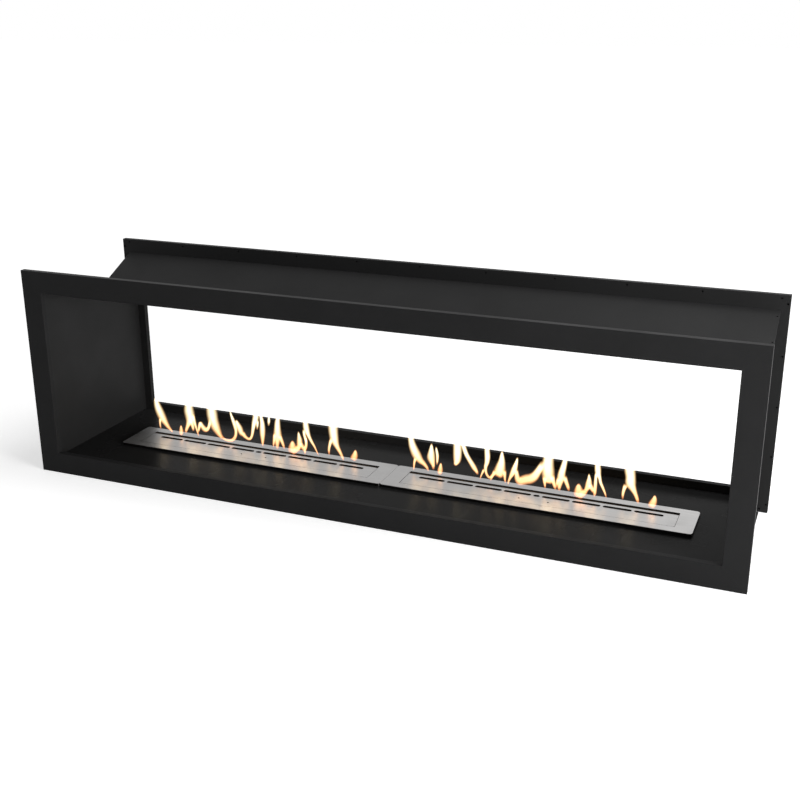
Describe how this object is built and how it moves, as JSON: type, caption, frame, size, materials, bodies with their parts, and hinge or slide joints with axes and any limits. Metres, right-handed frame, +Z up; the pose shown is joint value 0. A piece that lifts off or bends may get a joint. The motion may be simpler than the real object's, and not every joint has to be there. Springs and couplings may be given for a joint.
{
  "type": "double-sided fireplace",
  "caption": "Black steel see-through built-in fireplace, open front and back, with trim frames, a sloped roof and stainless drop-in burners with sliding shutters.",
  "frame": {"origin": "middle of the base, in the plane of the frames' bottom edges", "axes": "+X along the fireplace to the right as seen from the front, +Y from the front face to the rear face, +Z up"},
  "size_m": [1.8, 0.446, 0.538],
  "materials": {
    "black_trim": "fine satin-matt black powder coat",
    "black_casing": "heat-proof matt black powder coat",
    "brushed_steel": "stainless steel brushed along its length",
    "burner_steel": "plain stainless sheet, heat-dulled",
    "absorber_fibre": "ceramic fibre, browned by heat"
  },
  "bodies": {
    "casing": {"front_trim_top": "black_trim", "front_trim_bottom": "black_trim", "front_trim_left": "black_trim", "front_trim_right": "black_trim", "rear_trim_top": "black_trim", "rear_trim_bottom": "black_trim", "rear_trim_left": "black_trim", "rear_trim_right": "black_trim", "front_mounting_flange": "black_casing", "rear_mounting_flange": "black_casing", "left_side_wall": "black_casing", "right_side_wall": "black_casing", "front_roof_slope": "black_casing", "roof_centre_panel": "black_casing", "rear_roof_slope": "black_casing", "floor_pan": "black_casing", "left_floor_support": "black_casing", "centre_floor_support": "black_casing", "right_floor_support": "black_casing"},
    "left_burner": {"left_burner_top_plate": "brushed_steel", "left_burner_baffle": "burner_steel", "left_burner_tank": "burner_steel", "left_burner_absorber": "absorber_fibre"},
    "left_shutter": {"left_burner_shutter": "brushed_steel"},
    "right_burner": {"right_burner_top_plate": "brushed_steel", "right_burner_baffle": "burner_steel", "right_burner_tank": "burner_steel", "right_burner_absorber": "absorber_fibre"},
    "right_shutter": {"right_burner_shutter": "brushed_steel"}
  },
  "joints": [
    {"name": "left_burner_lift", "type": "slide", "parent": "casing", "child": "left_burner", "axis": [0, 0, 1], "range_m": [0, 0.2]},
    {"name": "right_burner_lift", "type": "slide", "parent": "casing", "child": "right_burner", "axis": [0, 0, 1], "range_m": [0, 0.2]},
    {"name": "left_shutter_slide", "type": "slide", "parent": "left_burner", "child": "left_shutter", "axis": [0, 1, 0], "range_m": [0, 0.012]},
    {"name": "right_shutter_slide", "type": "slide", "parent": "right_burner", "child": "right_shutter", "axis": [0, 1, 0], "range_m": [0, 0.012]}
  ]
}
